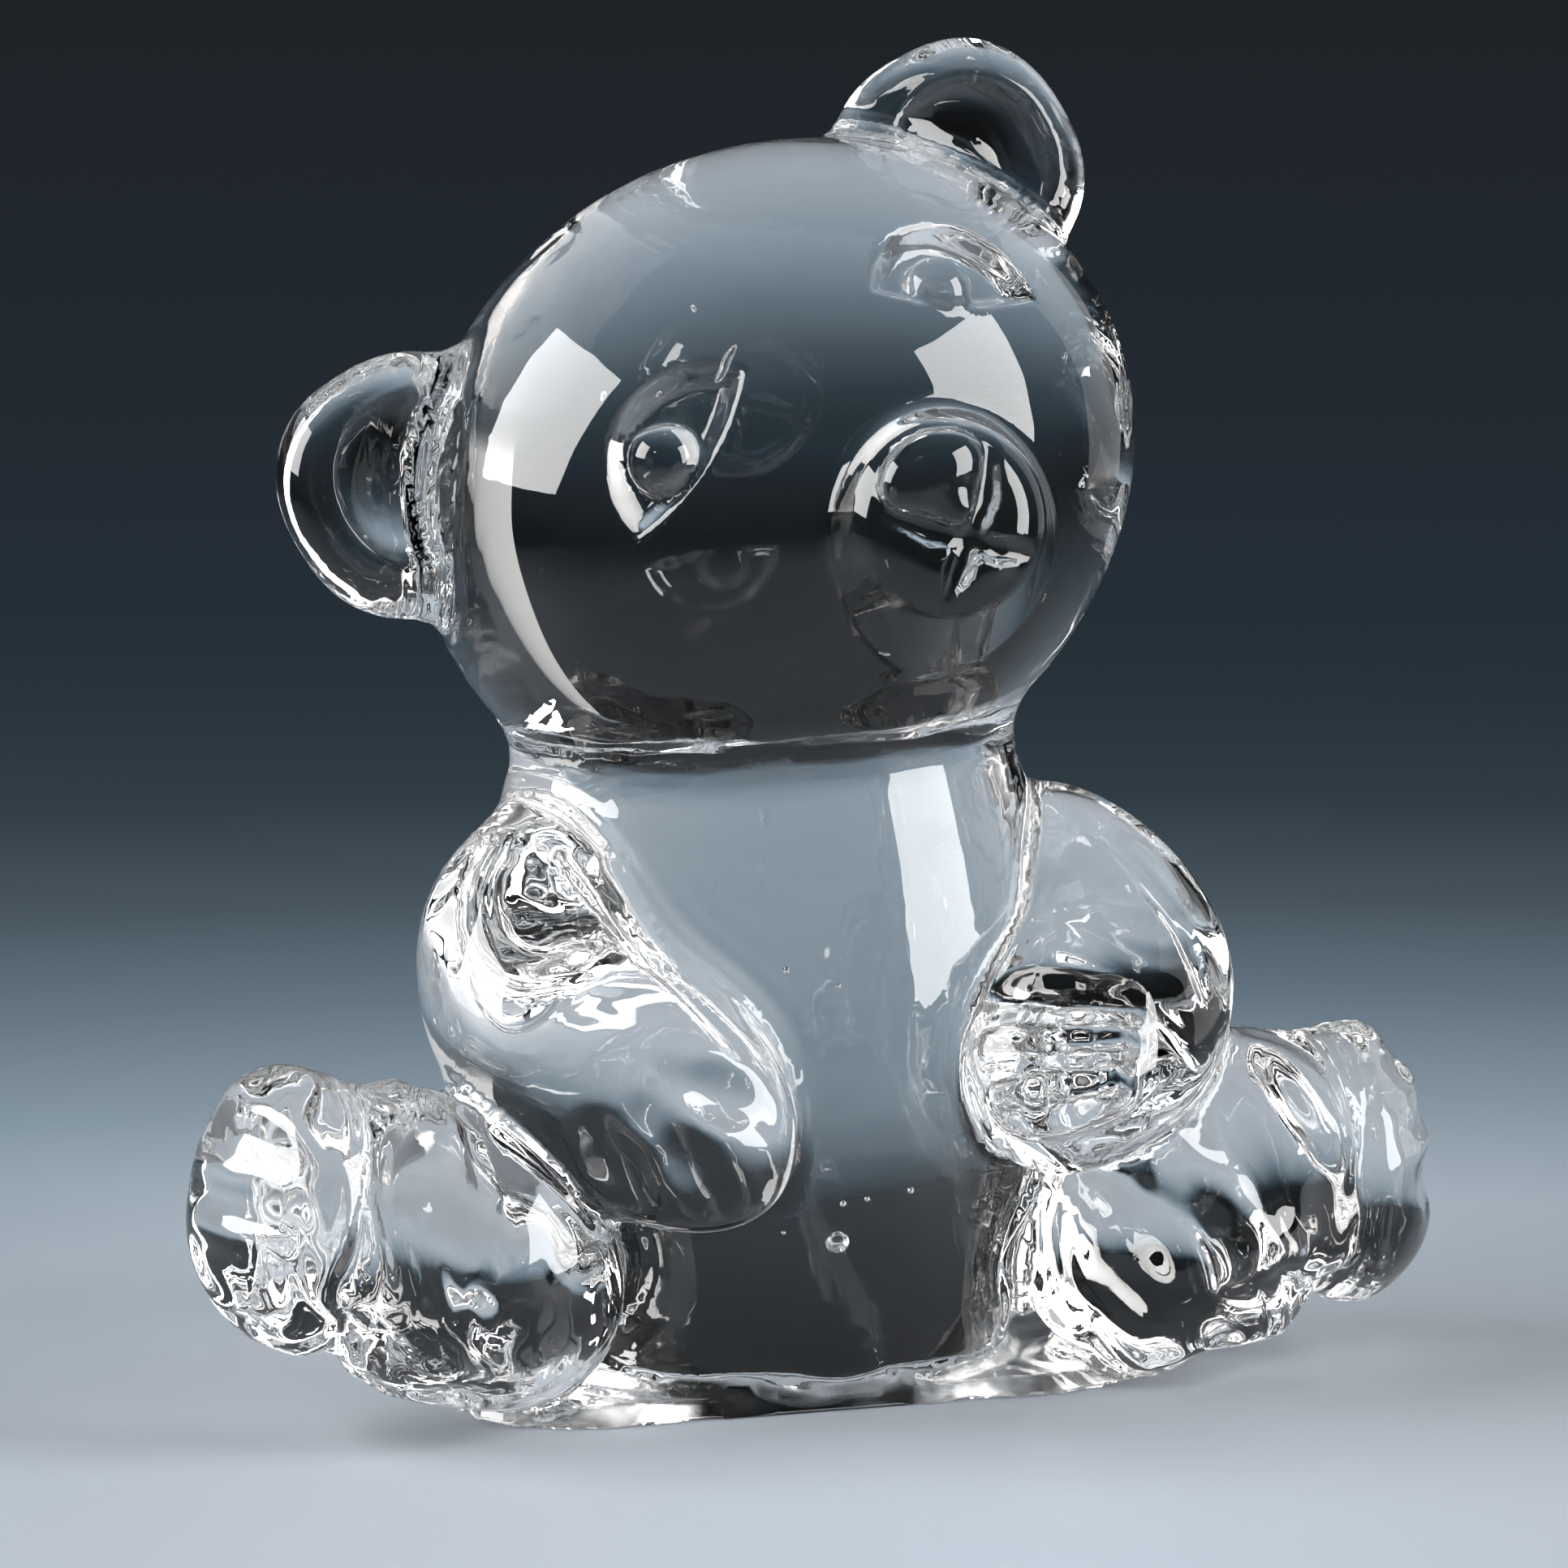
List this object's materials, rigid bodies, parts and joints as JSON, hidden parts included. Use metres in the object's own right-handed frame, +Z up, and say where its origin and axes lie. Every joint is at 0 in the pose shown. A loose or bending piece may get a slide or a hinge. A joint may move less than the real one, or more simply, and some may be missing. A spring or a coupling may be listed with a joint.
{
  "type": "crystal glass bear figurine",
  "caption": "Solid clear crystal figurine of a seated bear cub with a tilted head, round ears, folded arms and splayed legs on a flat-ground base.",
  "frame": {"origin": "middle of the flat-ground base, on the surface it stands on", "axes": "+Z up, the cub faces -Y, its own left side is +X"},
  "size_m": [0.1141, 0.0635, 0.1163],
  "materials": {
    "crystal": "fire-polished clear lead crystal, no colour"
  },
  "bodies": {
    "root": {"base": "crystal", "torso": "crystal", "neck": "crystal", "head": "crystal", "muzzle": "crystal", "nose": "crystal", "eye_right": "crystal", "eye_left": "crystal", "ear_right": "crystal", "ear_left": "crystal", "arm_right": "crystal", "arm_left": "crystal", "leg_right": "crystal", "leg_left": "crystal", "foot_right": "crystal", "foot_left": "crystal"}
  },
  "joints": []
}
